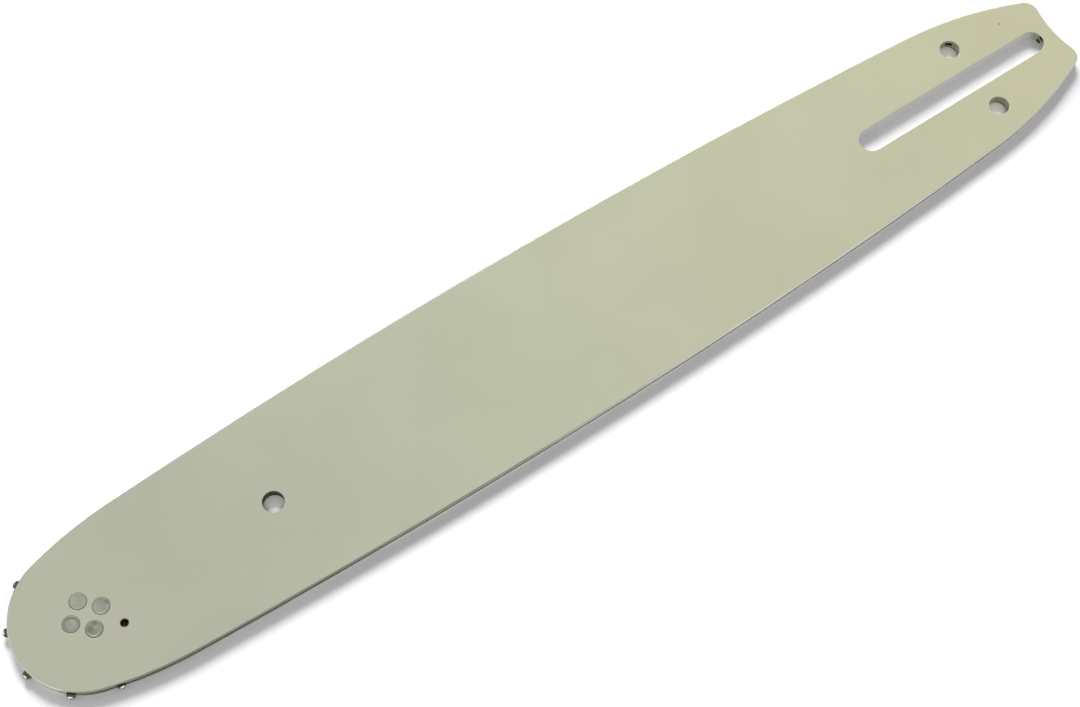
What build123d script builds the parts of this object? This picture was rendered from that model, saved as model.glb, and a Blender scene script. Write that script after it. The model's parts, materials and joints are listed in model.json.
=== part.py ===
"""Laminated chainsaw guide bar with a turning sprocket in its nose.

Lengths are in millimetres, angles in degrees, and +Z is up. The bar lies flat on its lower side plate,
with +X towards the nose. The origin is the middle of the stud slot, on the underside.
The nose is built up from its rivets outwards: rivets, race, rollers, sprocket, then the rail round it.
"""

import os
from math import acos, cos, degrees, floor, pi, sin, sqrt

from build123d import *

# Plies
side_plate_thickness = 1.3
groove_width = 1.3  # the core plate is as thick as the chain groove is wide
groove_depth = 6.5  # the core plate is set in this far from the rails
edge_break = 0.25

# Rivets that hold the nose together
rivet_count = 4
rivet_head_radius = 2.65
rivet_head_overhang = 0.55  # head beyond shank, tapered through the side plate
rivet_head_spacing = 1.7  # bare plate between neighbouring heads
rivet_fit = 0.02

# Nose bearing
race_wall = 1.91  # from the rivet heads to the track of the rollers
roller_diameter = 3.9  # more than the grease hole, or rollers would fall out
roller_spacing = 0.1
bearing_play = 0.04
side_play = 0.1  # sprocket and rollers to each side plate

# Nose sprocket
tooth_count = 10
tooth_phase = 14.2
tooth_height = 7.55
tooth_tip_radius = 1.35
tip_bevel_length = 0.6  # from the tip inwards, on both faces of the sprocket
tip_bevel_depth = 0.22
tooth_reach = 1.6  # beyond the rail of the nose
gullet_radius = 3.0
sprocket_ring = 3.45  # bore to gullet bottom
sprocket_pocket_clearance = 1.0
pocket_horn_radius = 0.8

# Outline
bar_length = 393.3  # tail end to nose tip
shoulder_length = 21.8  # from the sprocket's axis back to where the crowned rails end
shoulder_rise = 3.9  # the rails there, beyond the radius of the nose
crown_rise = 3.8  # the widest place, beyond the shoulders
tail_drop = 6.0  # from the widest place down to where the tail begins
tail_taper_length = 45.6
tail_width = 26.2
tail_corner_radius = 4.5
tail_scoop_radius = 42.0
tail_scoop_depth = 1.1

# Openings
stud_slot_length = 77.6
stud_slot_width = 8.4
stud_slot_from_tail = 6.1
tensioner_hole_diameter = 6.8
tensioner_hole_spacing = 26.1
tensioner_hole_from_tail = 35.5
oil_passage_width = 2.4
oil_passage_lean = 38.0  # from straight across the bar, towards the tail
hanging_hole_diameter = 6.8
hanging_hole_from_sprocket = 63.1
grease_hole_diameter = 2.4
grease_hole_angle = 135.0

# Heights
core_bottom = side_plate_thickness
core_top = core_bottom + groove_width
bar_thickness = core_top + side_plate_thickness
sprocket_bottom = core_bottom + side_play
sprocket_thickness = groove_width - 2 * side_play

# Radii round the nose axis
rivet_shank_radius = rivet_head_radius - rivet_head_overhang
rivet_circle = (2 * rivet_head_radius + rivet_head_spacing) / (2 * sin(pi / rivet_count))
race_radius = rivet_circle + rivet_head_radius + race_wall
roller_circle = race_radius + bearing_play + roller_diameter / 2
sprocket_bore = roller_circle + roller_diameter / 2 + bearing_play
gullet_bottom = sprocket_bore + sprocket_ring
tooth_tip = gullet_bottom + tooth_height
nose_radius = tooth_tip - tooth_reach
roller_count = floor(2 * pi * roller_circle / (roller_diameter + roller_spacing))

# Places along the bar
tail_x = -stud_slot_from_tail - stud_slot_length / 2
nose_x = tail_x + bar_length - nose_radius
nose_axis = Vector(nose_x, 0)
tensioner_x = tail_x + tensioner_hole_from_tail
tensioner_y = tensioner_hole_spacing / 2
hanging_hole = (nose_x - hanging_hole_from_sprocket, 0)

# Upper rail: one long crowned arc, with a tighter arc at each end that leaves it on a tangent
half_width = nose_radius + shoulder_rise + crown_rise
tail_blend_x = tail_x + tail_taper_length
shoulder_x = nose_x - shoulder_length
tail_share = sqrt(tail_drop) / (sqrt(tail_drop) + sqrt(crown_rise))
crown_x = tail_blend_x + tail_share * (shoulder_x - tail_blend_x)
crown_radius = ((crown_x - tail_blend_x) ** 2 + tail_drop**2) / (2 * tail_drop)
crown_centre = Vector(crown_x, half_width - crown_radius)


def crown_normal(x):
    """Outward direction of the crowned arc at this place along the bar."""
    along = (x - crown_x) / crown_radius
    return Vector(along, sqrt(1 - along**2))


tail_normal = crown_normal(tail_blend_x)
tail_blend = crown_centre + tail_normal * crown_radius
to_tail_end = Vector(tail_x, tail_width / 2) - tail_blend
tail_radius = -to_tail_end.dot(to_tail_end) / (2 * to_tail_end.dot(tail_normal))
tail_centre = tail_blend - tail_normal * tail_radius

shoulder_normal = crown_normal(shoulder_x)
shoulder = crown_centre + shoulder_normal * crown_radius
from_nose = shoulder - nose_axis
shoulder_room = from_nose.dot(shoulder_normal) - nose_radius
shoulder_radius = (from_nose.dot(from_nose) - nose_radius**2) / (2 * shoulder_room)
shoulder_centre = shoulder - shoulder_normal * shoulder_radius
nose_normal = (nose_axis - shoulder_centre).normalized()


def arc_about(centre, start, end):
    """The shorter arc from start to end round a centre."""
    middle = (start - centre) + (end - centre)
    return ThreePointArc(start, centre + middle.normalized() * (start - centre).length, end)


def bar_outline(inset):
    """The bar's outline, with its rails set in by one depth all along, and the tail end left in place."""
    tail_arc = tail_radius - inset
    tail_corner = Vector(tail_x, tail_centre.Y + sqrt(tail_arc**2 - (tail_x - tail_centre.X) ** 2))
    crown_start = crown_centre + tail_normal * (crown_radius - inset)
    crown_end = crown_centre + shoulder_normal * (crown_radius - inset)
    nose_start = nose_axis + nose_normal * (nose_radius - inset)
    nose_tip = nose_axis + Vector(nose_radius - inset, 0)
    with BuildSketch() as outline:
        with BuildLine():
            Line((tail_x, 0), tail_corner)
            arc_about(tail_centre, tail_corner, crown_start)
            arc_about(crown_centre, crown_start, crown_end)
            arc_about(shoulder_centre, crown_end, nose_start)
            arc_about(nose_axis, nose_start, nose_tip)
            mirror(about=Plane.XZ)
        make_face()
    return outline.sketch


def through_openings():
    """What is cut through all three plies: stud slot, round holes and the scoop in the tail end."""
    with BuildSketch() as openings:
        SlotOverall(stud_slot_length, stud_slot_width)
        with Locations((tensioner_x, tensioner_y), (tensioner_x, -tensioner_y)):
            Circle(tensioner_hole_diameter / 2)
        with Locations(hanging_hole):
            Circle(hanging_hole_diameter / 2)
        with Locations((tail_x + tail_scoop_depth - tail_scoop_radius, 0)):
            Circle(tail_scoop_radius)
    return openings.sketch


# Side plates: one stamping, used twice
with BuildPart() as upper_side_plate:
    with BuildSketch(Plane.XY.offset(core_top)) as plate_profile:
        add(bar_outline(0))
        fillet(plate_profile.vertices().sort_by(Axis.X)[:2], tail_corner_radius)
        add(through_openings(), mode=Mode.SUBTRACT)
        with Locations(nose_axis):
            with PolarLocations(roller_circle, 1, grease_hole_angle):
                Circle(grease_hole_diameter / 2, mode=Mode.SUBTRACT)
    extrude(amount=side_plate_thickness)
    outer_face = upper_side_plate.faces().sort_by(Axis.Z)[-1]
    chamfer(outer_face.outer_wire().edges(), edge_break)
    with Locations((nose_x, 0, core_top)):
        with PolarLocations(rivet_circle, rivet_count):
            Cone(
                rivet_shank_radius + rivet_fit,
                rivet_head_radius + rivet_fit,
                side_plate_thickness,
                align=(Align.CENTER, Align.CENTER, Align.MIN),
                mode=Mode.SUBTRACT,
            )

with BuildPart() as lower_side_plate:
    long_axis = Axis((0, 0, bar_thickness / 2), (1, 0, 0))
    add(upper_side_plate.part.rotate(long_axis, 180))

# Core plate, with an oil passage from each tensioner hole out to the chain groove
with BuildPart() as core_plate:
    with BuildSketch(Plane.XY.offset(core_bottom)) as core_profile:
        add(bar_outline(groove_depth))
        with Locations(nose_axis):
            Circle(tooth_tip + sprocket_pocket_clearance, mode=Mode.SUBTRACT)
        fillet(core_profile.vertices().sort_by_distance(nose_axis)[:2], pocket_horn_radius)
        add(through_openings(), mode=Mode.SUBTRACT)
        with Locations(
            Pos(tensioner_x, tensioner_y) * Rot(0, 0, oil_passage_lean),
            Pos(tensioner_x, -tensioner_y) * Rot(0, 0, 180 - oil_passage_lean),
        ):
            Rectangle(oil_passage_width, half_width, align=(Align.CENTER, Align.MIN), mode=Mode.SUBTRACT)
    extrude(amount=groove_width)

# Nose sprocket: one tooth with half a gullet on each side of it, repeated round the nose, then bevelled at the tips
gullet_way = Vector(cos(pi / tooth_count), sin(pi / tooth_count))
tip_centre = Vector(tooth_tip - tooth_tip_radius, 0)
gullet_centre = gullet_way * (gullet_bottom + gullet_radius)
tip_to_gullet = gullet_centre - tip_centre
flank_turn = degrees(acos((tooth_tip_radius + gullet_radius) / tip_to_gullet.length))
flank_normal = tip_to_gullet.normalized().rotate(Axis.Z, -flank_turn)
flank_top = tip_centre + flank_normal * tooth_tip_radius
flank_foot = gullet_centre - flank_normal * gullet_radius

with BuildSketch() as tooth_profile:
    with BuildLine():
        arc_about(tip_centre, Vector(tooth_tip, 0), flank_top)
        Line(flank_top, flank_foot)
        arc_about(gullet_centre, flank_foot, gullet_way * gullet_bottom)
        Line(gullet_way * gullet_bottom, gullet_way * sprocket_bore)
        arc_about(Vector(0, 0), gullet_way * sprocket_bore, Vector(sprocket_bore, 0))
        mirror(about=Plane.XZ)
    make_face()

with BuildPart() as nose_sprocket:
    with BuildSketch(Plane((nose_x, 0, sprocket_bottom))):
        with PolarLocations(0, tooth_count, tooth_phase):
            add(tooth_profile.sketch)
    extrude(amount=sprocket_thickness)
    bevel_start = tooth_tip - tip_bevel_length
    bevel_reach = bevel_start + tip_bevel_length / tip_bevel_depth * sprocket_thickness
    with Locations((nose_x, 0, sprocket_bottom + sprocket_thickness / 2)):
        Cone(bevel_reach, bevel_start, sprocket_thickness, mode=Mode.INTERSECT)
        Cone(bevel_start, bevel_reach, sprocket_thickness, mode=Mode.INTERSECT)

# Bearing: a race clamped between the side plates, and loose rollers that fill the track round it
with BuildPart() as bearing_race:
    with BuildSketch(Plane((nose_x, 0, core_bottom))):
        Circle(race_radius)
        with PolarLocations(rivet_circle, rivet_count):
            Circle(rivet_shank_radius + rivet_fit, mode=Mode.SUBTRACT)
    extrude(amount=groove_width)

bearing_rollers = []
for place in PolarLocations(roller_circle, roller_count):
    roller_axis = nose_axis + place.position
    with BuildPart() as roller:
        with BuildSketch(Plane((roller_axis.X, roller_axis.Y, sprocket_bottom))):
            Circle(roller_diameter / 2)
        extrude(amount=sprocket_thickness)
    roller.part.label = f"bearing_roller_{len(bearing_rollers) + 1:02d}"
    bearing_rollers.append(roller.part)

# Rivets: flush at both faces, and tapered to fill the holes in the side plates
with BuildPart() as rivet:
    with BuildSketch(Plane.XZ):
        with BuildLine():
            Polyline(
                (0, 0),
                (rivet_head_radius, 0),
                (rivet_shank_radius, core_bottom),
                (rivet_shank_radius, core_top),
                (rivet_head_radius, bar_thickness),
                (0, bar_thickness),
                close=True,
            )
        make_face()
    revolve(axis=Axis.Z)

with BuildPart() as nose_rivets:
    with Locations((nose_x, 0, 0)):
        with PolarLocations(rivet_circle, rivet_count):
            add(rivet.part)

upper_side_plate.part.label = "upper_side_plate"
lower_side_plate.part.label = "lower_side_plate"
core_plate.part.label = "core_plate"
nose_sprocket.part.label = "nose_sprocket"
bearing_race.part.label = "bearing_race"
nose_rivets.part.label = "nose_rivets"

plies = [upper_side_plate.part, lower_side_plate.part, core_plate.part]
nose = [nose_sprocket.part, bearing_race.part, nose_rivets.part]
os.makedirs("parts", exist_ok=True)
for piece in plies + nose + bearing_rollers:
    export_step(piece, f"parts/{piece.label}.step")
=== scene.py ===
"""Looks of the chainsaw guide bar: camera, soft light, materials, edge breaks and the turned rivets.

Lengths are in metres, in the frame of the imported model: the bar lies flat with +X towards the nose,
and the origin is the middle of the stud slot, on the underside. Lengths in mm are marked as such.
"""

import json
from math import cos, exp, pi, radians, sin

import bpy
from mathutils import Matrix, Vector


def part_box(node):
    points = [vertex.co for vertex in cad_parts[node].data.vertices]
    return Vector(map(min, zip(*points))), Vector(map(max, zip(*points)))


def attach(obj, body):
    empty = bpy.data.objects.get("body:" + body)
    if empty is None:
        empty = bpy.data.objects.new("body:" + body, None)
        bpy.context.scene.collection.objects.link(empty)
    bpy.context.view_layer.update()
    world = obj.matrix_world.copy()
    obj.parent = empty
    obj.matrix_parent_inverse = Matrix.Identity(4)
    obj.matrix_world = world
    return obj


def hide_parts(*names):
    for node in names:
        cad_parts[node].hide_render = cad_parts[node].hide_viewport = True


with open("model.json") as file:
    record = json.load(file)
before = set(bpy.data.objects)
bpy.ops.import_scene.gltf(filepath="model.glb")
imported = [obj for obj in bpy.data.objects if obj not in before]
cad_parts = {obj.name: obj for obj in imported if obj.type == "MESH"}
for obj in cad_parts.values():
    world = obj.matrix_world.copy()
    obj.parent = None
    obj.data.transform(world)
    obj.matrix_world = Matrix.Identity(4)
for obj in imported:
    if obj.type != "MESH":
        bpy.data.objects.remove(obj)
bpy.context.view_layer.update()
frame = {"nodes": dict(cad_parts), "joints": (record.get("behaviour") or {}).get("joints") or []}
nodes = frame["nodes"]
scene = bpy.context.scene
scene.view_settings.view_transform = "Standard"

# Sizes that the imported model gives
MM = 0.001
BAR_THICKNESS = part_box("nose_rivets")[1].z
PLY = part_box("core_plate")[0].z
NOSE = Vector(frame["joints"][0]["pos_m"])
TAIL_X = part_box("upper_side_plate")[0].x
NOSE_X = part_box("upper_side_plate")[1].x
HALF_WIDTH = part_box("upper_side_plate")[1].y
BAR_MIDDLE = Vector(((TAIL_X + NOSE_X) / 2, 0.0, 0.0))
TOOTH_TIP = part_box("nose_sprocket")[1].y  # one tooth points nearly along Y

# Sizes of the part that its boxes don't give
SLOT_LENGTH = 77.6 * MM
SLOT_WIDTH = 8.4 * MM
SLOT_END_X = -SLOT_LENGTH / 2  # the end by the tail
RIVET_CIRCLE = 4.95 * MM
RIVET_HEAD = 2.65 * MM
RIVET_SHANK = 2.1 * MM
TEETH = 10
TOOTH_PHASE = radians(14.2)  # from +X to the middle of a tooth
THROUGH_HOLES = [(-9.4, 13.05, 3.4), (-9.4, -13.05, 3.4), (262.41, 0.0, 3.4)]  # x, y and radius in mm
GREASE_HOLE = (317.37, 8.14, 1.2)  # x, y and radius in mm
OIL_PASSAGES = [(-12.2, 16.7, 1.95), (-12.2, -16.7, 1.95)]  # a point in each, by its hole, in mm


# Node helpers
COLOUR_A, COLOUR_B, COLOUR_RESULT = 6, 7, 2  # the Mix node's sockets for colours
NOISE_LOW, NOISE_HIGH = 0.3, 0.7  # most of a noise lies between these


def feed(tree, socket, value):
    """Links a socket to the one that feeds it, or sets its value."""
    if isinstance(value, bpy.types.NodeSocket):
        tree.links.new(value, socket)
    else:
        socket.default_value = value


def put(tree, kind, inputs=None, **settings):
    """A new node of this kind; each input is a value, or the socket that feeds it."""
    made = tree.nodes.new("ShaderNode" + kind)
    for name, value in settings.items():
        setattr(made, name, value)
    for key, value in (inputs or {}).items():
        feed(tree, made.inputs[key], value)
    return made


def maths(tree, operation, *values, clamp=False):
    """The result of one arithmetic step."""
    made = put(tree, "Math", dict(enumerate(values)), operation=operation, use_clamp=clamp)
    return made.outputs[0]


def times(tree, first, *others):
    """The product of several values."""
    product = first
    for value in others:
        product = maths(tree, "MULTIPLY", product, value)
    return product


def vectors(tree, operation, *values):
    """The result of one step with vectors, which is a number for a length, distance or dot product."""
    made = put(tree, "VectorMath", dict(enumerate(values)), operation=operation)
    return made.outputs["Value" if operation in ("LENGTH", "DISTANCE", "DOT_PRODUCT") else "Vector"]


def axes(tree, vector):
    """The three parts of a vector."""
    return put(tree, "SeparateXYZ", {0: vector}).outputs


def ramp(tree, value, low, high, to_low=0.0, to_high=1.0, smooth=True):
    """A value carried from one range to another, and held at its ends."""
    inputs = {"Value": value, "From Min": low, "From Max": high, "To Min": to_low, "To Max": to_high}
    made = put(tree, "MapRange", inputs, interpolation_type="SMOOTHSTEP" if smooth else "LINEAR")
    return made.outputs["Result"]


def noise(tree, vector, scale, detail=2.0, roughness=0.5):
    """Grey noise at a scale in cycles per metre."""
    inputs = {"Vector": vector, "Scale": scale, "Detail": detail, "Roughness": roughness}
    return put(tree, "TexNoise", inputs).outputs[0]


def stretched_noise(tree, vector, scales, detail=2.0):
    """Grey noise with a scale of its own along each axis."""
    return noise(tree, vectors(tree, "MULTIPLY", vector, scales), 1.0, detail)


def vary(tree, grey_noise, low=0.0, high=1.0):
    """A noise carried to another range."""
    return ramp(tree, grey_noise, NOISE_LOW, NOISE_HIGH, low, high)


def ragged(tree, value, grey_noise, size):
    """A value made uneven by a noise, by up to half this size each way."""
    return maths(tree, "ADD", value, times(tree, maths(tree, "SUBTRACT", grey_noise, 0.5), size))


def spot(tree, place, centre, inner, outer, grey_noise=None):
    """One inside a ball round a point, fading to nought at its outer radius; centre and radii in mm."""
    away = vectors(tree, "DISTANCE", place, Vector(centre) * MM)
    if grey_noise is not None:
        away = ragged(tree, away, grey_noise, outer * MM)
    return ramp(tree, away, inner * MM, outer * MM, 1.0, 0.0)


def blend(tree, factor, first, second, mode="MIX"):
    """Two colours mixed by a factor."""
    made = put(tree, "Mix", {"Factor": factor}, data_type="RGBA", blend_type=mode)
    for socket, value in ((COLOUR_A, first), (COLOUR_B, second)):
        linked = isinstance(value, bpy.types.NodeSocket)
        feed(tree, made.inputs[socket], value if linked else (*value, 1.0))
    return made.outputs[COLOUR_RESULT]


def shaded(tree, colour, shade):
    """A colour made darker or lighter by a factor."""
    grey = put(tree, "CombineColor", {"Red": shade, "Green": shade, "Blue": shade}).outputs[0]
    return blend(tree, 1.0, colour, grey, "MULTIPLY")


def bump(tree, height, depth, under=None):
    """A bump of this depth, on top of another one."""
    inputs = {"Height": height, "Strength": 1.0, "Distance": depth}
    if under is not None:
        inputs["Normal"] = under
    return put(tree, "Bump", inputs).outputs[0]


def material(name):
    """A new material: its tree, its shader, and the place on the part."""
    made = bpy.data.materials.new(name)
    made.use_nodes = True
    tree = made.node_tree
    shader = tree.nodes["Principled BSDF"]
    place = put(tree, "TexCoord").outputs["Object"]
    return made, tree, shader, place


def dress(tree, shader, **inputs):
    """Feeds the shader's inputs by name, with underscores for spaces."""
    for name, value in inputs.items():
        feed(tree, shader.inputs[name.replace("_", " ")], value)


def from_nose(tree, place):
    """The way from the axis of the nose sprocket, flat in the bar's plane."""
    way = vectors(tree, "SUBTRACT", place, NOSE)
    return vectors(tree, "MULTIPLY", way, (1.0, 1.0, 0.0))


# Paint of the side plates: satin, a little yellower towards the tail, with painted shade that darkens it
# towards the nose
PAINT_TONES_AND_SHADE = [  # X, and the tone there, with painted shade that darkens it towards the nose
    (-0.03, (0.552, 0.550, 0.364)),
    (0.17, (0.513, 0.531, 0.388)),
    (0.29, (0.463, 0.474, 0.370)),
]
SPECK_TONE = (0.2, 0.2, 0.16)
CHIP_TONE = (0.13, 0.14, 0.09)
GREASE_TONE = (0.03, 0.01, 0.007)
TAIL_CHIP = (-30.0, -11.8, 3.9)  # this and the next two in mm
CHIP_RADII = (0.2, 0.42)
GREASE_RIM = (0.1, 0.2)


def cream_paint():
    """Painted shade along the bar, faint clouds, grain and specks, one chip at the tail, and grease at the
    mouth of the grease hole.
    """
    made, tree, shader, place = material("cream_paint_satin")
    along = axes(tree, place)[0]
    # Painted shade: the tone darkens towards the nose and lightens towards the tail, as the light falls
    # along the bar
    start, tone = PAINT_TONES_AND_SHADE[0]
    for end, end_tone_and_shade in PAINT_TONES_AND_SHADE[1:]:
        tone = blend(tree, ramp(tree, along, start, end, smooth=False), tone, end_tone_and_shade)
        start = end
    cloud = vary(tree, noise(tree, place, 26.0, 3.0), 0.975, 1.02)
    grain = vary(tree, noise(tree, place, 1500.0), 0.99, 1.008)
    colour = shaded(tree, tone, times(tree, cloud, grain))

    cells = put(tree, "TexVoronoi", {"Vector": place, "Scale": 120.0})
    near = ramp(tree, cells.outputs["Distance"], 0.018, 0.04, 1.0, 0.0)
    chosen = put(tree, "SeparateColor", {0: cells.outputs["Color"]}).outputs[0]
    speck = times(tree, near, ramp(tree, chosen, 0.88, 0.92))
    colour = blend(tree, times(tree, speck, 0.3), colour, SPECK_TONE)
    chip = spot(tree, place, TAIL_CHIP, *CHIP_RADII)
    colour = blend(tree, times(tree, chip, 0.75), colour, CHIP_TONE)
    x, y, radius = GREASE_HOLE
    grease = spot(tree, place, (x, y, BAR_THICKNESS / MM), *(radius + rim for rim in GREASE_RIM))
    colour = blend(tree, grease, colour, GREASE_TONE)

    peel = bump(tree, noise(tree, place, 1100.0, 1.5), 0.012 * MM)
    relief = bump(tree, maths(tree, "MAXIMUM", speck, chip), -0.02 * MM, peel)
    gloss = vary(tree, noise(tree, place, 160.0, 3.0), 0.54, 0.59)
    dress(
        tree, shader, Base_Color=colour, Roughness=gloss, Normal=relief, Metallic=0.0,
        Specular_IOR_Level=0.25,
    )
    return made


# Ground rails: bare steel at the tail, darker towards the nose with a darker band under the upper edge,
# darker on the lower ply as painted shade, and lighter round the nose tip as a painted highlight
RAIL_BARE = ((0.60, 0.59, 0.545), (0.48, 0.47, 0.435))  # on the upper and the lower ply; the lower one darker, as painted shade
RAIL_DARK = ((0.25, 0.25, 0.2), (0.2, 0.195, 0.16))  # on the upper and the lower ply; the lower one darker, as painted shade
RAIL_TAIL = (0.36, 0.35, 0.32)
RAIL_BAND_TONE = (0.07, 0.07, 0.045)
TAIL_DULL_X = (0.0, 0.06)
RAIL_DARKENS_X = (0.10, 0.22)
RAIL_BAND_X = (0.215, 0.275)
# Painted highlight: past here the rail's darkening fades, so the rail round the nose tip shows light
NOSE_HIGHLIGHT_X = (0.339, 0.344)
RAIL_UNEVEN_X = 0.05
LOWER_LAG_X = 0.11  # how much nearer the nose the lower ply darkens
RAIL_BAND_EDGE = (0.75 * MM, 0.15 * MM)  # depths under the upper face between which the darker band fades out


def ground_steel():
    """Fine lines along the rail, and a darker band under its upper edge."""
    made, tree, shader, place = material("ground_rail_steel")
    lines = stretched_noise(tree, place, (60.0, 60.0, 9000.0), 3.0)
    along, _, height = axes(tree, place)
    reach = ragged(tree, along, noise(tree, place, 90.0, 3.0), RAIL_UNEVEN_X)
    lower = ramp(tree, height, PLY, BAR_THICKNESS - PLY, 1.0, 0.0)
    # Painted shade: the lower ply's rail takes the darker of the two tones
    bare = blend(tree, lower, *RAIL_BARE)
    bare = blend(tree, ramp(tree, along, *TAIL_DULL_X, 0.35, 0.0), bare, RAIL_TAIL)
    band = ramp(tree, height, *(BAR_THICKNESS - edge for edge in RAIL_BAND_EDGE), 1.0, 0.0)
    band = maths(tree, "SUBTRACT", band, lower)
    banded = times(tree, band, ramp(tree, reach, *RAIL_BAND_X))
    dark = blend(tree, banded, blend(tree, lower, *RAIL_DARK), RAIL_BAND_TONE)
    lagging = maths(tree, "SUBTRACT", reach, times(tree, lower, LOWER_LAG_X))
    darkened = ramp(tree, lagging, *RAIL_DARKENS_X)
    # Painted highlight round the nose tip, where the darkening fades
    darkened = times(tree, darkened, ramp(tree, along, *NOSE_HIGHLIGHT_X, 1.0, 0.15))
    colour = shaded(tree, blend(tree, darkened, bare, dark), vary(tree, lines, 0.82, 1.12))
    dress(
        tree, shader, Base_Color=colour, Roughness=vary(tree, lines, 0.3, 0.46), Metallic=1.0,
        Normal=bump(tree, lines, 0.006 * MM),
    )
    return made


# Walls of the openings: bright in the stud slot, olive under stray paint in the round holes
STRAY_PAINT = ((0.40, 0.42, 0.30), (0.54, 0.56, 0.42))
WALL_RUST = ((0.34, 0.27, 0.22), (0.46, 0.38, 0.32))
NOSE_HOLE_OLIVE = (0.115, 0.127, 0.085)
SLOT_STEEL = ((0.40, 0.395, 0.37), (0.50, 0.495, 0.465))
SLOT_END_TONE = (0.19, 0.19, 0.14)
SLOT_PATCH_TONE = (0.02, 0.024, 0.02)
SLOT_DARK_PATCHES = [(SLOT_END_X / MM, 0.3, 3.1), (SLOT_END_X / MM, -0.3, 1.0)]  # this and the next in mm
SLOT_PATCH_RADII = (0.7, 1.2)
SLOT_MARGIN = 0.8 * MM
SLOT_END_FADE_X = (SLOT_END_X + 0.4 * MM, SLOT_END_X + 2.2 * MM)
SLOT_END_UNEVEN = 2.0 * MM
NOSE_SIDE_X = (0.1, 0.2)  # between the tail holes and the nose hole
RUST_HEIGHT = (0.6 * PLY, 1.2 * PLY)


def punched_wall():
    """Torn lines down the wall, rust low in the tail holes, and dark patches at the tail end of the slot.
    """
    made, tree, shader, place = material("punched_wall")
    along, across, height = axes(tree, place)
    tears = stretched_noise(tree, place, (2600.0, 2600.0, 350.0), 3.0)
    blot = noise(tree, place, 900.0, 3.0)
    streak = vary(tree, tears)
    rusty = times(tree, ramp(tree, height, *RUST_HEIGHT, 1.0, 0.0), ramp(tree, blot, 0.3, 0.6))
    in_hole = blend(tree, rusty, blend(tree, streak, *STRAY_PAINT), blend(tree, streak, *WALL_RUST))
    nose_side = ramp(tree, along, *NOSE_SIDE_X)
    in_hole = blend(tree, times(tree, nose_side, 0.93), in_hole, NOSE_HOLE_OLIVE)

    uneven = ragged(tree, along, blot, SLOT_END_UNEVEN)
    by_end = ramp(tree, uneven, *SLOT_END_FADE_X, 0.85, 0.0)
    bright = blend(tree, by_end, blend(tree, streak, *SLOT_STEEL), SLOT_END_TONE)
    blotch = maths(tree, "MAXIMUM", *(spot(tree, place, at, *SLOT_PATCH_RADII, blot) for at in SLOT_DARK_PATCHES))
    in_length = maths(tree, "LESS_THAN", maths(tree, "ABSOLUTE", along), SLOT_LENGTH / 2 + SLOT_MARGIN)
    in_width = maths(tree, "LESS_THAN", maths(tree, "ABSOLUTE", across), SLOT_WIDTH / 2 + SLOT_MARGIN)
    in_slot = times(tree, in_length, in_width)

    colour = blend(tree, in_slot, in_hole, blend(tree, blotch, bright, SLOT_PATCH_TONE))
    gloss = maths(tree, "MAXIMUM", vary(tree, tears, 0.36, 0.52), times(tree, nose_side, 0.85))
    bare = times(tree, in_slot, maths(tree, "SUBTRACT", 0.9, blotch, clamp=True))
    dress(
        tree, shader, Base_Color=colour, Roughness=gloss, Metallic=bare, Specular_IOR_Level=0.08,
        Normal=bump(tree, tears, 0.02 * MM),
    )
    return made


# Core plate and the groove's sides: unpainted and brownish, with painted light at the tail and at the nose,
# where the groove lies in shade, and painted shade in the passages
CORE_TONES = ((0.375, 0.35, 0.30), (0.30, 0.245, 0.19))
CORE_TAIL_LIGHT = (0.64, 0.62, 0.56)
CORE_NOSE_LIGHT = (0.56, 0.55, 0.52)
PASSAGE_SHADE = (0.03, 0.03, 0.022)
TAIL_BRIGHT_X = (0.15, 0.3)
NOSE_BRIGHT_X = (0.334, 0.343)
PASSAGE_RADII = (1.7, 2.6)  # in mm


def core_steel():
    """Dull patches and grain, painted light at the tail and at the nose, and painted shade in the passages.
    """
    made, tree, shader, place = material("core_plate_steel")
    along = axes(tree, place)[0]
    patch = noise(tree, place, 140.0, 4.0, 0.6)
    grain = stretched_noise(tree, place, (900.0, 900.0, 3000.0))
    tone = blend(tree, ramp(tree, patch, 0.35, 0.68), *CORE_TONES)
    # Painted light: brighter at the tail and at the nose, against the shade in the groove
    tone = blend(tree, ramp(tree, along, *TAIL_BRIGHT_X, 1.0, 0.0), tone, CORE_TAIL_LIGHT)
    tone = blend(tree, ramp(tree, along, *NOSE_BRIGHT_X), tone, CORE_NOSE_LIGHT)
    # Painted shade: dark in the passages, by their mouths
    for passage in OIL_PASSAGES:
        tone = blend(tree, spot(tree, place, passage, *PASSAGE_RADII), tone, PASSAGE_SHADE)
    dress(
        tree, shader, Base_Color=shaded(tree, tone, vary(tree, grain, 0.8, 1.2)), Metallic=0.75,
        Roughness=vary(tree, patch, 0.45, 0.62), Normal=bump(tree, grain, 0.01 * MM),
    )
    return made


# Nose sprocket: oiled dark, its tips polished and brightened by a painted highlight, with painted shade on
# their walls
SPROCKET_OILED = (0.085, 0.08, 0.055)
SPROCKET_RIM_SHADE = (0.03, 0.029, 0.019)
SPROCKET_POLISH_AND_GLINT = (0.78, 0.77, 0.75)
GLINT_SIDE = (0.5, 0.866, 0.0)
GLINT_FADE = (-2.0 * MM, 3.0 * MM)  # from the nose axis towards that side
POLISH_GLINT_OUT = (0.8 * MM, 0.5 * MM)  # the polish and painted highlight start this far inside the tip
RIM_SHADE_OUT = (0.16 * MM, 0.06 * MM)  # the painted shade of the rim starts this far inside the tip
TIP_MIDDLE = (0.028, 0.055)  # the polish and painted highlight end this far from a tooth's middle, as a share of the pitch


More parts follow.
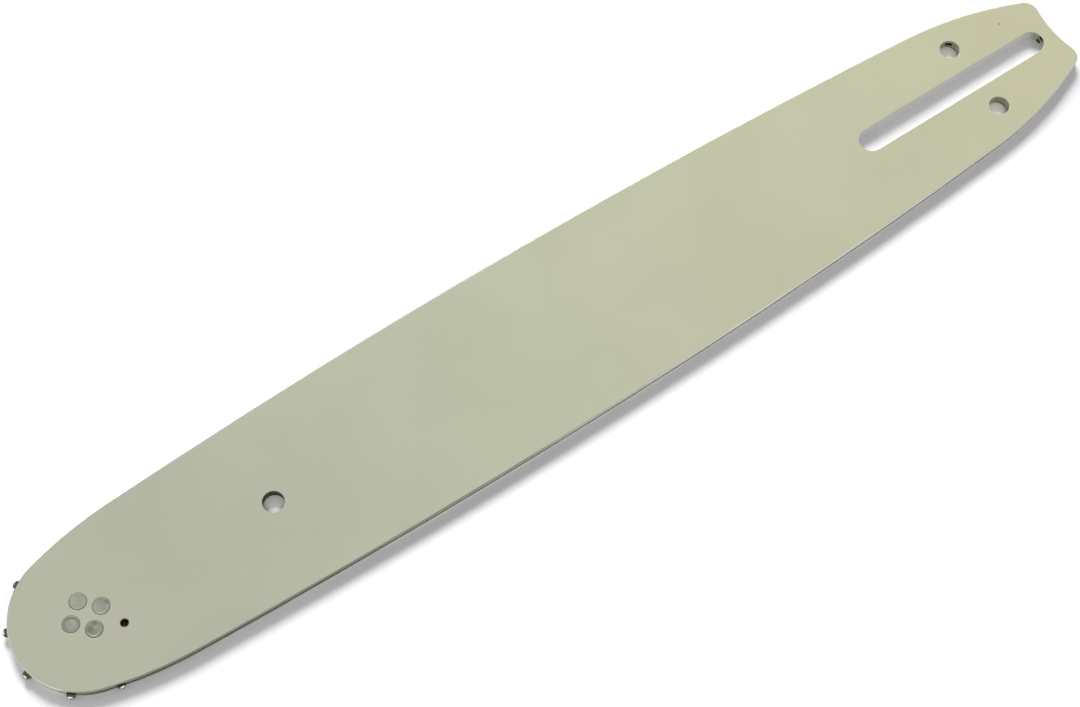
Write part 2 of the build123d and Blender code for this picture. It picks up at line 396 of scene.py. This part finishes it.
def sprocket_steel():
    """Polish and a painted highlight on the slanted faces of each tip, in the middle of the tooth,
    strongest on one side of the nose, and painted shade on the walls at the tips.
    """
    made, tree, shader, place = material("nose_sprocket_steel")
    oil = noise(tree, place, 520.0, 3.0)
    scratch = stretched_noise(tree, place, (4200.0, 1400.0, 5200.0), 3.0)
    tilt = maths(tree, "ABSOLUTE", axes(tree, put(tree, "NewGeometry").outputs["True Normal"])[2])
    slanted = times(tree, ramp(tree, tilt, 0.955, 0.995, 1.0, 0.0), ramp(tree, tilt, 0.4, 0.7))
    flat = from_nose(tree, place)
    out = vectors(tree, "LENGTH", flat)
    # Painted shade on the walls at the tips
    rim = ramp(tree, out, *(TOOTH_TIP - inside for inside in RIM_SHADE_OUT))
    tip = ramp(tree, out, *(TOOTH_TIP - inside for inside in POLISH_GLINT_OUT))
    tip = times(tree, tip, maths(tree, "SUBTRACT", 1.0, rim))
    # Painted highlight, strongest on the teeth on one side of the nose
    glint_side = ramp(tree, vectors(tree, "DOT_PRODUCT", flat, GLINT_SIDE), *GLINT_FADE, 0.25, 1.0)
    x, y, _ = axes(tree, flat)
    turn = maths(tree, "SUBTRACT", maths(tree, "ARCTAN2", y, x), TOOTH_PHASE)
    tooth = maths(tree, "DIVIDE", turn, 2 * pi / TEETH)
    off_middle = maths(tree, "ABSOLUTE", maths(tree, "SUBTRACT", tooth, maths(tree, "ROUND", tooth)))
    middle = ramp(tree, off_middle, *TIP_MIDDLE, 1.0, 0.0)
    polish_and_glint = times(tree, slanted, tip, glint_side, middle, ramp(tree, oil, 0.25, 0.42))
    tone = blend(tree, polish_and_glint, blend(tree, rim, SPROCKET_OILED, SPROCKET_RIM_SHADE), SPROCKET_POLISH_AND_GLINT)
    colour = shaded(tree, tone, vary(tree, scratch, 0.8, 1.15))
    gloss = maths(tree, "ADD", vary(tree, scratch, 0.16, 0.28), vary(tree, oil, 0.0, 0.08))
    dress(
        tree, shader, Base_Color=colour, Roughness=gloss, Metallic=1.0,
        Normal=bump(tree, scratch, 0.008 * MM),
    )
    return made


# Race and rollers: bearing steel under dark red grease
BEARING_BARE = (0.06, 0.018, 0.014)
BEARING_GREASE = (0.018, 0.003, 0.0025)


def bearing_steel():
    """A film of grease that thins in patches."""
    made, tree, shader, place = material("greased_bearing_steel")
    blotch = noise(tree, place, 420.0, 4.0, 0.6)
    film = ramp(tree, blotch, 0.36, 0.5)
    dress(
        tree, shader, Base_Color=blend(tree, film, BEARING_BARE, BEARING_GREASE),
        Roughness=vary(tree, blotch, 0.16, 0.34), Specular_IOR_Level=0.05,
        Metallic=maths(tree, "SUBTRACT", 1.0, film), Normal=bump(tree, blotch, 0.03 * MM),
    )
    return made


# Rivets: greenish grey and dull, with dark marks, a seam darkened by painted shade, and painted shade that
# darkens the rivets at +X and +Y
RIVET_TONES = ((0.255, 0.28, 0.215), (0.325, 0.345, 0.285))
SEAM_SHADE_TONE = (0.17, 0.175, 0.13)
DARK_MARK_TONE = (0.12, 0.127, 0.09)
SEAM_SIDE = radians(104)  # where the seam round a head is deepest, and its painted shade darkest
SEAM_RADII = (2.46 * MM, 2.56 * MM)
DARK_RING = 1.95 * MM
DARK_RING_WIDTH = 0.6 * MM
RING_STARTS = (2.0 * MM, 2.5 * MM)  # from the nose axis towards +X
RIVET_DARK_PATCHES = [  # x and y from the nose axis, and the inner and outer radius, in mm
    (1.2, 4.14, 0.5, 1.4),
    (-0.93, 3.53, 0.2, 0.9),
    (-6.83, -0.28, 0.3, 1.1),
    (0.2, -4.85, 0.1, 0.4),
]
RIVET_SHADE = 0.91
SHADE_LEAN = (0.005, 0.07)  # how much darker the rivets at +X and at +Y are, as painted shade


def from_rivet(tree, x, y):
    """The way from the axis of the nearest rivet; all four lie on the axes through the nose."""
    way = []
    for mine, other in ((x, y), (y, x)):
        nearer = maths(tree, "GREATER_THAN", maths(tree, "ABSOLUTE", mine), maths(tree, "ABSOLUTE", other))
        rivet = times(tree, nearer, maths(tree, "SIGN", mine), RIVET_CIRCLE)
        way.append(maths(tree, "SUBTRACT", mine, rivet))
    return put(tree, "CombineXYZ", dict(enumerate(way))).outputs[0]


def rivet_steel():
    """Dull patches, a seam darkened by painted shade, a dark ring on the rivet at +X, dark patches, and
    painted shade that leans across the rivets.
    """
    made, tree, shader, place = material("turned_rivet_steel")
    patch = noise(tree, place, 260.0, 3.0)
    fine = noise(tree, place, 2600.0, 3.0)
    x, y, _ = axes(tree, from_nose(tree, place))
    local = from_rivet(tree, x, y)
    radius = vectors(tree, "LENGTH", local)
    deep_way = Vector((cos(SEAM_SIDE), sin(SEAM_SIDE), 0.0)) / RIVET_HEAD
    deep_side = vectors(tree, "DOT_PRODUCT", local, deep_way)
    # Painted shade in the seam, mostly on its deep side
    seam = times(tree, ramp(tree, radius, *SEAM_RADII), ramp(tree, deep_side, -0.5, 0.6, 0.1, 0.9))
    tone = blend(tree, seam, blend(tree, vary(tree, patch), *RIVET_TONES), SEAM_SHADE_TONE)

    off_ring = maths(tree, "ABSOLUTE", maths(tree, "SUBTRACT", radius, DARK_RING))
    dark_marks = ramp(tree, off_ring, 0.0, DARK_RING_WIDTH, 1.0, 0.0)
    dark_marks = times(tree, dark_marks, ramp(tree, x, *RING_STARTS, 0.0, 0.7))
    for dirt_x, dirt_y, inner, outer in RIVET_DARK_PATCHES:
        centre = (NOSE.x / MM + dirt_x, NOSE.y / MM + dirt_y, BAR_THICKNESS / MM)
        dark_marks = maths(tree, "MAXIMUM", dark_marks, spot(tree, place, centre, inner, outer, patch))
    dark_marks = times(tree, dark_marks, ramp(tree, fine, 0.3, 0.6, 0.35, 0.6))
    tone = blend(tree, dark_marks, tone, DARK_MARK_TONE)

    # Painted shade leaning across the four rivets
    leans = [times(tree, way, lean / RIVET_CIRCLE) for way, lean in zip((x, y), SHADE_LEAN)]
    shade = maths(tree, "SUBTRACT", RIVET_SHADE, maths(tree, "ADD", *leans))
    dress(
        tree, shader, Base_Color=shaded(tree, tone, times(tree, shade, vary(tree, fine, 0.95, 1.05))),
        Roughness=vary(tree, fine, 0.46, 0.58), Metallic=0.25, Specular_IOR_Level=0.3,
        Normal=bump(tree, fine, 0.006 * MM),
    )
    return made


paint = cream_paint()
rail = ground_steel()
wall = punched_wall()
core = core_steel()
sprocket = sprocket_steel()
bearing = bearing_steel()
rivets = rivet_steel()


# Materials on the solids
SIDE_PLATES = ("upper_side_plate", "lower_side_plate")
PLATE_FINISHES = (paint, rail, wall, core)
FLAT, RAIL, OPENING, INSIDE = range(len(PLATE_FINISHES))
CORE_FINISHES = (core, wall)
CORE_PLAIN, CORE_OPENING = range(len(CORE_FINISHES))
LEVEL = 0.99  # a face that is more level than this is no wall
OPENING_MARGIN = 0.1 * MM


def is_opening(centre):
    """Whether a point of a plate's wall lies in one of its openings."""
    if abs(centre.x) < SLOT_LENGTH / 2 + OPENING_MARGIN and abs(centre.y) < SLOT_WIDTH / 2 + OPENING_MARGIN:
        return True
    for x, y, radius in (*THROUGH_HOLES, GREASE_HOLE):
        for side in (y, -y):
            if (centre.xy - Vector((x, side)) * MM).length < radius * MM + OPENING_MARGIN:
                return True
    return (centre.xy - NOSE.xy).length < RIVET_CIRCLE + RIVET_HEAD + OPENING_MARGIN


def set_finishes(name, finishes):
    """Gives a solid its materials, and returns its mesh."""
    solid = nodes[name].data
    solid.materials.clear()
    for finish in finishes:
        solid.materials.append(finish)
    return solid


for name in SIDE_PLATES:
    for face in set_finishes(name, PLATE_FINISHES).polygons:
        if abs(face.normal.z) > LEVEL:
            outer = min(face.center.z, BAR_THICKNESS - face.center.z) < PLY / 2
            face.material_index = FLAT if outer else INSIDE
        else:
            face.material_index = OPENING if is_opening(face.center) else RAIL

for face in set_finishes("core_plate", CORE_FINISHES).polygons:
    in_opening = abs(face.normal.z) < LEVEL and is_opening(face.center)
    face.material_index = CORE_OPENING if in_opening else CORE_PLAIN

set_finishes("nose_sprocket", [sprocket])
for name in nodes:
    if name.startswith("bearing_"):
        set_finishes(name, [bearing])


# Edge breaks on the solids that show
WELD_DISTANCE = 0.001 * MM
FLAT_ANGLE = radians(1)
EDGE_ANGLE = radians(30)
EDGE_SEGMENTS = 2
PLATE_BREAK = 0.07 * MM
CORE_BREAK = 0.03 * MM
SPROCKET_BREAK = 0.15 * MM
RACE_BREAK = 0.1 * MM


def weld(node):
    """Joins the points that the solid's faces share."""
    joined = node.modifiers.new("weld", "WELD")
    joined.merge_threshold = WELD_DISTANCE


def merge_flats(name):
    """Makes one face of the triangles that lie in one plane."""
    weld(nodes[name])
    flat = nodes[name].modifiers.new("merge_flats", "DECIMATE")
    flat.decimate_type = "DISSOLVE"
    flat.angle_limit = FLAT_ANGLE


def break_edges(name, width, finish=-1):
    """Rounds a solid's edges, in one of its materials or in that of the faces beside them."""
    weld(nodes[name])
    edge = nodes[name].modifiers.new("edge_break", "BEVEL")
    edge.width = width
    edge.segments = EDGE_SEGMENTS
    edge.limit_method = "ANGLE"
    edge.angle_limit = EDGE_ANGLE
    edge.use_clamp_overlap = True
    edge.harden_normals = True
    edge.material = finish


for name in SIDE_PLATES:
    break_edges(name, PLATE_BREAK, RAIL)
break_edges("core_plate", CORE_BREAK)
merge_flats("nose_sprocket")
break_edges("nose_sprocket", SPROCKET_BREAK)
break_edges("bearing_race", RACE_BREAK)


# Rivets, each staked in its own way: a dish in the head, a knob or dimple in it, and a seam round it
RIVET_SEGMENTS = 96
RIVET_TURNS = [2 * pi * step / RIVET_SEGMENTS for step in range(RIVET_SEGMENTS)]

# Forms of the rivets' heads, in mm
HEAD_RADII = [0.1 * step for step in range(1, 24)] + [2.36, 2.41, 2.46, 2.51, 2.56]
SEAM_START = 2.42
SEAM_RUN = 0.12
SEAM_DEPTH = 0.07
SEAM_LEAN = 0.05  # how much deeper it is on its deep side
DISH_SLOPE = 0.7  # how wide the dish's sloping edge is
DISH_LEAN = 0.6  # the share by which it is deeper on its deep side
DISH_LEVEL = 1.5  # inside this radius that lean fades out
STAKES = [
    {"dish": 0.08, "edge": 1.95, "side": radians(200), "middle": -0.06, "spread": 1.0},
    {"dish": 0.12, "edge": 2.0, "side": radians(110), "middle": -0.08, "spread": 0.7},
    {"dish": 0.07, "edge": 2.1, "side": radians(115), "middle": 0.0, "spread": 0.5},
    {"dish": 0.03, "edge": 2.0, "side": radians(110), "middle": 0.07, "spread": 0.33},
]


def share(value):
    """A value held between nought and one."""
    return min(max(value, 0.0), 1.0)


def head_drop(stake, radius, turn):
    """How far in mm a point of a rivet's head lies under the face of the bar."""
    inward = share((stake["edge"] + DISH_SLOPE / 2 - radius) / DISH_SLOPE)
    one_sided = 1.0 + DISH_LEAN * cos(turn - stake["side"]) * min(radius / DISH_LEVEL, 1.0)
    dish = stake["dish"] * one_sided * inward * inward * (3 - 2 * inward)
    middle = stake["middle"] * exp(-((radius / stake["spread"]) ** 2))
    seam = share((radius - SEAM_START) / SEAM_RUN) * (SEAM_DEPTH + SEAM_LEAN * cos(turn - SEAM_SIDE))
    return max(dish + middle + seam, 0.0)


def turned_rivet(verts, faces, centre, stake):
    """One rivet: a head at each face, tapering to the shank between."""
    lower = [[(radius, head_drop(stake, radius, turn)) for turn in RIVET_TURNS] for radius in HEAD_RADII]
    lower.append([(RIVET_SHANK / MM, PLY / MM)] * RIVET_SEGMENTS)
    upper = [[(radius, BAR_THICKNESS / MM - drop) for radius, drop in ring] for ring in lower]
    rings = upper + lower[::-1]
    middle = head_drop(stake, 0.0, 0.0)
    start = len(verts)
    verts.append((centre.x, centre.y, BAR_THICKNESS - middle * MM))
    for ring in rings:
        for turn, (radius, z) in zip(RIVET_TURNS, ring):
            x = centre.x + radius * MM * cos(turn)
            y = centre.y + radius * MM * sin(turn)
            verts.append((x, y, z * MM))
    verts.append((centre.x, centre.y, middle * MM))
    end = len(verts) - 1
    first = start + 1
    last = end - RIVET_SEGMENTS
    for step in range(RIVET_SEGMENTS):
        after = (step + 1) % RIVET_SEGMENTS
        faces.append((start, first + step, first + after))
        for here in range(first, last, RIVET_SEGMENTS):
            below = here + RIVET_SEGMENTS
            faces.append((here + step, below + step, below + after, here + after))
        faces.append((end, last + after, last + step))


verts, faces = [], []
for number, stake in enumerate(STAKES):
    turn = 2 * pi * number / len(STAKES)
    turned_rivet(verts, faces, NOSE + RIVET_CIRCLE * Vector((cos(turn), sin(turn), 0.0)), stake)
mesh = bpy.data.meshes.new("turned_rivets")
mesh.from_pydata(verts, [], faces)
mesh.shade_smooth()
mesh.materials.append(rivets)
turned = bpy.data.objects.new("turned_rivets", mesh)
scene.collection.objects.link(turned)
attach(turned, "bar")
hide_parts("nose_rivets")


# Floor: white to the camera, with the bar's shadow, a painted shadow beside the tail half, painted light
# under the holes, and melting into the backdrop far out
FLOOR_SIZE = 6.0
FLOOR_GAP = 0.02 * MM
FLOOR_MELTS = (0.45, 1.1)  # how far out it does
FLOOR_TONE = (0.8, 0.8, 0.8)  # in the light that it throws back
FLOOR_SEEN = (1.24, 1.24, 1.265)
FLOOR_PAINTED_SHADOW = (1.08, 1.08, 1.1)
SHADOW_STRIP_OUT = (3.0 * MM, 7.0 * MM)  # how far out from the bar's edge the painted shadow strip ends
SHADOW_STRIP_X = (0.22, 0.29)  # where along the bar it ends
WIDEST_X = 0.16
EDGE_CURVE = 0.234  # the bar's half width shrinks by this times the square of the way from its widest place
HOLE_FLOOR_LIGHTS = (1.7, 1.6, 2.1)  # how much painted light brightens the floor under each through hole
HOLE_FLOOR_BLUE = 1.015
HOLE_SIGHT = (-0.7, -1.5)  # from a hole's middle to the floor seen through it, in mm
HOLE_SPREAD = (0.6, 1.2)  # share of a hole's radius at which the painted light fades


def floor_material():
    """A diffuse floor, with painted shadow beside the tail half of the bar and painted light under its
    holes.
    """
    made = bpy.data.materials.new("pale_floor")
    made.use_nodes = True
    tree = made.node_tree
    tree.nodes.clear()
    path = put(tree, "LightPath").outputs
    seen = path["Is Camera Ray"]
    mirrored = maths(tree, "ADD", path["Is Glossy Ray"], path["Is Transmission Ray"], clamp=True)
    world_place = put(tree, "NewGeometry").outputs["Position"]
    along, across, _ = axes(tree, world_place)
    from_widest = maths(tree, "SUBTRACT", along, WIDEST_X)
    outside = maths(tree, "SUBTRACT", maths(tree, "ABSOLUTE", across), HALF_WIDTH)
    outside = maths(tree, "ADD", outside, times(tree, from_widest, from_widest, EDGE_CURVE))
    # Painted shadow: darker beside the tail half of the bar
    shadow_strip = times(
        tree, ramp(tree, outside, *SHADOW_STRIP_OUT, 1.0, 0.0), ramp(tree, along, *SHADOW_STRIP_X, 1.0, 0.0)
    )
    bright = blend(tree, shadow_strip, FLOOR_SEEN, FLOOR_PAINTED_SHADOW)
    # Painted light on the floor under each through hole
    for (x, y, radius), hole_light in zip(THROUGH_HOLES, HOLE_FLOOR_LIGHTS):
        centre = (x + HOLE_SIGHT[0], y + HOLE_SIGHT[1], 0.0)
        under = spot(tree, world_place, centre, *(part * radius for part in HOLE_SPREAD))
        bright = blend(tree, under, bright, (hole_light, hole_light, HOLE_FLOOR_BLUE * hole_light))
    ground = put(tree, "BsdfDiffuse", {"Color": blend(tree, seen, FLOOR_TONE, bright)}).outputs[0]
    white = put(tree, "Emission", {"Strength": 1.0}).outputs[0]
    away = vectors(tree, "LENGTH", put(tree, "TexCoord").outputs["Object"])
    far = times(tree, ramp(tree, away, *FLOOR_MELTS), seen)
    plain = maths(tree, "MAXIMUM", far, mirrored)
    mixed = put(tree, "MixShader", {0: plain, 1: ground, 2: white}).outputs[0]
    put(tree, "OutputMaterial", {"Surface": mixed})
    return made


bpy.ops.mesh.primitive_plane_add(size=FLOOR_SIZE, location=(BAR_MIDDLE.x, BAR_MIDDLE.y, -FLOOR_GAP))
floor = bpy.context.active_object
floor.name = "floor"
floor.data.materials.append(floor_material())


# Soft light: a large lamp from the far side, a small low one off the nose, and an even pale surround
SURROUND = 0.37
WHITE = (1.0, 1.0, 1.0, 1.0)
LAMPS = [
    {"name": "soft_lamp", "watts": 373.0, "size": 3.0, "distance": 6.0, "way": (-0.42, -0.91), "rise": 35},
    {"name": "nose_glint", "watts": 0.5, "size": 0.14, "distance": 1.0, "way": (0.95, 0.31), "rise": 20},
]


def pale_surround():
    """A world of even light that is white to the camera and in reflections."""
    made = bpy.data.worlds.new("surround")
    made.use_nodes = True
    tree = made.node_tree
    tree.nodes.clear()
    path = put(tree, "LightPath").outputs
    mirrored = maths(tree, "ADD", path["Is Glossy Ray"], path["Is Transmission Ray"])
    seen = maths(tree, "ADD", path["Is Camera Ray"], mirrored, clamp=True)
    strength = ramp(tree, seen, 0.0, 1.0, SURROUND, 1.0, smooth=False)
    glow = put(tree, "Background", {"Color": WHITE, "Strength": strength}).outputs[0]
    put(tree, "OutputWorld", {"Surface": glow})
    return made


def add_lamp(name, watts, size, distance, way, rise):
    """A round lamp that faces the middle of the bar from this way, at a rise in degrees."""
    light = bpy.data.lights.new(name, "AREA")
    light.shape = "DISK"
    light.size = size
    light.energy = watts
    level = Vector((*way, 0.0)).normalized()
    towards = level * cos(radians(rise)) + Vector((0.0, 0.0, sin(radians(rise))))
    lamp = bpy.data.objects.new(name, light)
    lamp.location = BAR_MIDDLE + towards * distance
    lamp.rotation_mode = "QUATERNION"
    lamp.rotation_quaternion = towards.to_track_quat("Z", "Y")
    scene.collection.objects.link(lamp)


scene.world = pale_surround()
for lamp in LAMPS:
    add_lamp(**lamp)


# Camera at the photograph's place
CAMERA_PLACE = (0.3173, 0.1946, 0.5448)
CAMERA_RIGHT = Vector((-0.82731, 0.56097, 0.02936))
CAMERA_UP = Vector((-0.50264, -0.76259, 0.40719))
LENS_MM = 63.64
SENSOR_MM = 36.0
CLIP_START = 0.01

camera_data = bpy.data.cameras.new("camera")
camera_data.sensor_width = SENSOR_MM
camera_data.lens = LENS_MM
camera_data.clip_start = CLIP_START
camera = bpy.data.objects.new("camera", camera_data)
camera_turn = Matrix((CAMERA_RIGHT, CAMERA_UP, CAMERA_RIGHT.cross(CAMERA_UP))).transposed().to_4x4()
camera.matrix_world = Matrix.Translation(CAMERA_PLACE) @ camera_turn
scene.collection.objects.link(camera)
scene.camera = camera
